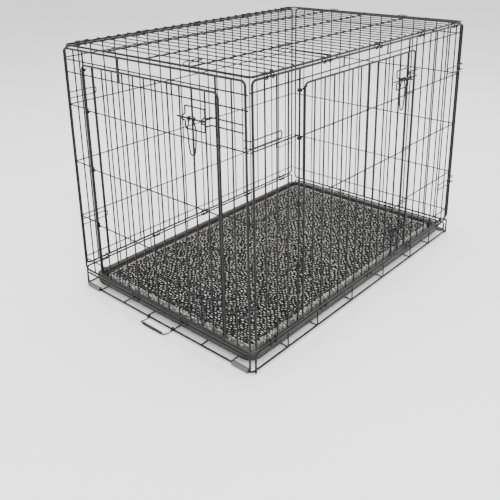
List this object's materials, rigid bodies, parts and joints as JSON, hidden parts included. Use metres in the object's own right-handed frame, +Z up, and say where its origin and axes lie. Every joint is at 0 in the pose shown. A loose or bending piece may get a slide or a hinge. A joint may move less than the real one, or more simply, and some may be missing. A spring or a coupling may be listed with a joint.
{
  "type": "folding wire dog crate",
  "caption": "Folding dog crate of welded black wire with a front door, a side door, slide-bolt latches, roller feet, a sliding tray and a fleece mat.",
  "frame": {"origin": "on the floor plane under the middle of the crate's rectangle, halfway between the two end panels and halfway between the two side panels", "axes": "+X along the length away from the front door, +Y across the width away from the side door, +Z up"},
  "size_m": [1.1032, 0.7372, 0.77],
  "materials": {
    "base_wire": "smooth black coated wire, semi-gloss",
    "panel_wire": "smooth black coated wire, semi-gloss",
    "door_wire": "smooth black coated wire, semi-gloss",
    "clip_wire": "thin black coated wire, semi-gloss",
    "latch_wire": "black coated wire, semi-gloss",
    "grip_rubber": "ribbed black rubber, dull",
    "roller_plastic": "mid grey plastic, satin",
    "tray_plastic": "moulded dark plastic, fine grain",
    "fleece": "curly grey pile"
  },
  "bodies": {
    "base": {"base_bottom_frame": "base_wire", "base_near_rail": "base_wire", "base_far_rail": "base_wire", "base_front_rail": "base_wire", "base_rear_rail": "base_wire", "base_cross_wires": "base_wire", "base_long_wires": "base_wire", "near_bottom_clips": "clip_wire", "far_bottom_clips": "clip_wire", "front_end_clips": "clip_wire", "rear_end_clips": "clip_wire"},
    "near_side": {"near_side_panel_bottom": "panel_wire", "near_side_panel_top": "panel_wire", "near_side_panel_left": "panel_wire", "near_side_panel_right": "panel_wire", "near_side_corner_hooks": "latch_wire", "side_door_upper_keeper": "latch_wire", "side_door_lower_keeper": "latch_wire"},
    "top_panel": {"top_panel": "panel_wire", "top_panel_hooks": "latch_wire", "near_top_clips": "clip_wire", "far_top_clips": "clip_wire"},
    "far_side": {"far_side_panel": "panel_wire", "far_side_corner_hooks": "latch_wire"},
    "front_end": {"front_end_panel_bottom": "panel_wire", "front_end_panel_top": "panel_wire", "front_end_panel_left": "panel_wire", "front_end_panel_right": "panel_wire", "front_door_upper_keeper": "latch_wire", "front_door_lower_keeper": "latch_wire"},
    "rear_end": {"rear_end_panel": "panel_wire"},
    "front_door": {"front_door": "door_wire", "front_door_upper_bracket": "latch_wire", "front_door_lower_bracket": "latch_wire"},
    "side_door": {"side_door": "door_wire", "side_door_upper_bracket": "latch_wire", "side_door_lower_bracket": "latch_wire"},
    "tray": {"tray": "tray_plastic", "fleece_mat": "fleece"},
    "tray_stop": {"tray_stop": "latch_wire", "tray_stop_grip": "grip_rubber"},
    "front_door_upper_bolt": {"front_door_upper_bolt": "latch_wire"},
    "front_door_upper_handle": {"front_door_upper_handle": "latch_wire"},
    "front_door_lower_bolt": {"front_door_lower_bolt": "latch_wire"},
    "front_door_lower_handle": {"front_door_lower_handle": "latch_wire"},
    "side_door_upper_bolt": {"side_door_upper_bolt": "latch_wire"},
    "side_door_upper_handle": {"side_door_upper_handle": "latch_wire"},
    "side_door_lower_bolt": {"side_door_lower_bolt": "latch_wire"},
    "side_door_lower_handle": {"side_door_lower_handle": "latch_wire"},
    "roller_front_near": {"roller_front_near": "roller_plastic"},
    "roller_front_far": {"roller_front_far": "roller_plastic"},
    "roller_rear_near": {"roller_rear_near": "roller_plastic"},
    "roller_rear_far": {"roller_rear_far": "roller_plastic"}
  },
  "joints": [
    {"name": "near_side_fold", "type": "hinge", "parent": "base", "child": "near_side", "pos_m": [0, -0.3525, 0.07], "axis": [-1, 0, 0], "range_deg": [-84, 0]},
    {"name": "far_side_fold", "type": "hinge", "parent": "base", "child": "far_side", "pos_m": [0, 0.3525, 0.07], "axis": [-1, 0, 0], "range_deg": [-84, 0]},
    {"name": "top_panel_fold", "type": "hinge", "parent": "near_side", "child": "top_panel", "pos_m": [0, -0.3525, 0.754], "axis": [-1, 0, 0], "range_deg": [0, 84]},
    {"name": "front_end_fold", "type": "hinge", "parent": "base", "child": "front_end", "pos_m": [-0.5305, 0, 0.0585], "axis": [0, -1, 0], "range_deg": [-90, 0]},
    {"name": "rear_end_fold", "type": "hinge", "parent": "base", "child": "rear_end", "pos_m": [0.5305, 0, 0.048], "axis": [0, 1, 0], "range_deg": [-90, 0]},
    {"name": "front_door_hinge", "type": "hinge", "parent": "front_end", "child": "front_door", "pos_m": [-0.53, 0.2565, 0.4], "axis": [0, 0, -1], "range_deg": [0, 120]},
    {"name": "side_door_hinge", "type": "hinge", "parent": "near_side", "child": "side_door", "pos_m": [-0.35, -0.352, 0.4], "axis": [0, 0, -1], "range_deg": [0, 120]},
    {"name": "front_door_upper_bolt_slide", "type": "slide", "parent": "front_door", "child": "front_door_upper_bolt", "axis": [0, -1, 0], "range_m": [0, 0.02]},
    {"name": "front_door_upper_handle_swing", "type": "hinge", "parent": "front_door_upper_bolt", "child": "front_door_upper_handle", "pos_m": [-0.5485, -0.1865, 0.646], "axis": [0, 1, 0], "range_deg": [0, 110]},
    {"name": "front_door_lower_bolt_slide", "type": "slide", "parent": "front_door", "child": "front_door_lower_bolt", "axis": [0, -1, 0], "range_m": [0, 0.02]},
    {"name": "front_door_lower_handle_swing", "type": "hinge", "parent": "front_door_lower_bolt", "child": "front_door_lower_handle", "pos_m": [-0.5485, -0.1865, 0.17], "axis": [0, 1, 0], "range_deg": [0, 110]},
    {"name": "side_door_upper_bolt_slide", "type": "slide", "parent": "side_door", "child": "side_door_upper_bolt", "axis": [1, 0, 0], "range_m": [0, 0.02]},
    {"name": "side_door_upper_handle_swing", "type": "hinge", "parent": "side_door_upper_bolt", "child": "side_door_upper_handle", "pos_m": [0.1105, -0.3705, 0.646], "axis": [-1, 0, 0], "range_deg": [0, 110]},
    {"name": "side_door_lower_bolt_slide", "type": "slide", "parent": "side_door", "child": "side_door_lower_bolt", "axis": [1, 0, 0], "range_m": [0, 0.02]},
    {"name": "side_door_lower_handle_swing", "type": "hinge", "parent": "side_door_lower_bolt", "child": "side_door_lower_handle", "pos_m": [0.1105, -0.3705, 0.17], "axis": [-1, 0, 0], "range_deg": [0, 110]},
    {"name": "tray_slide", "type": "slide", "parent": "base", "child": "tray", "axis": [1, 0, 0], "range_m": [-0.6, 0]},
    {"name": "tray_stop_lift", "type": "hinge", "parent": "base", "child": "tray_stop", "pos_m": [-0.5305, 0, 0.007], "axis": [0, 1, 0], "range_deg": [0, 90]},
    {"name": "roller_front_near_spin", "type": "hinge", "parent": "base", "child": "roller_front_near", "pos_m": [-0.5305, -0.308, 0.007], "axis": [0, 1, 0], "continuous": true},
    {"name": "roller_front_far_spin", "type": "hinge", "parent": "base", "child": "roller_front_far", "pos_m": [-0.5305, 0.308, 0.007], "axis": [0, 1, 0], "continuous": true},
    {"name": "roller_rear_near_spin", "type": "hinge", "parent": "base", "child": "roller_rear_near", "pos_m": [0.5305, -0.308, 0.007], "axis": [0, 1, 0], "continuous": true},
    {"name": "roller_rear_far_spin", "type": "hinge", "parent": "base", "child": "roller_rear_far", "pos_m": [0.5305, 0.308, 0.007], "axis": [0, 1, 0], "continuous": true}
  ],
  "couplings": [
    {"joint": "far_side_fold", "follows": "near_side_fold", "ratio": 1},
    {"joint": "top_panel_fold", "follows": "near_side_fold", "ratio": -1}
  ]
}
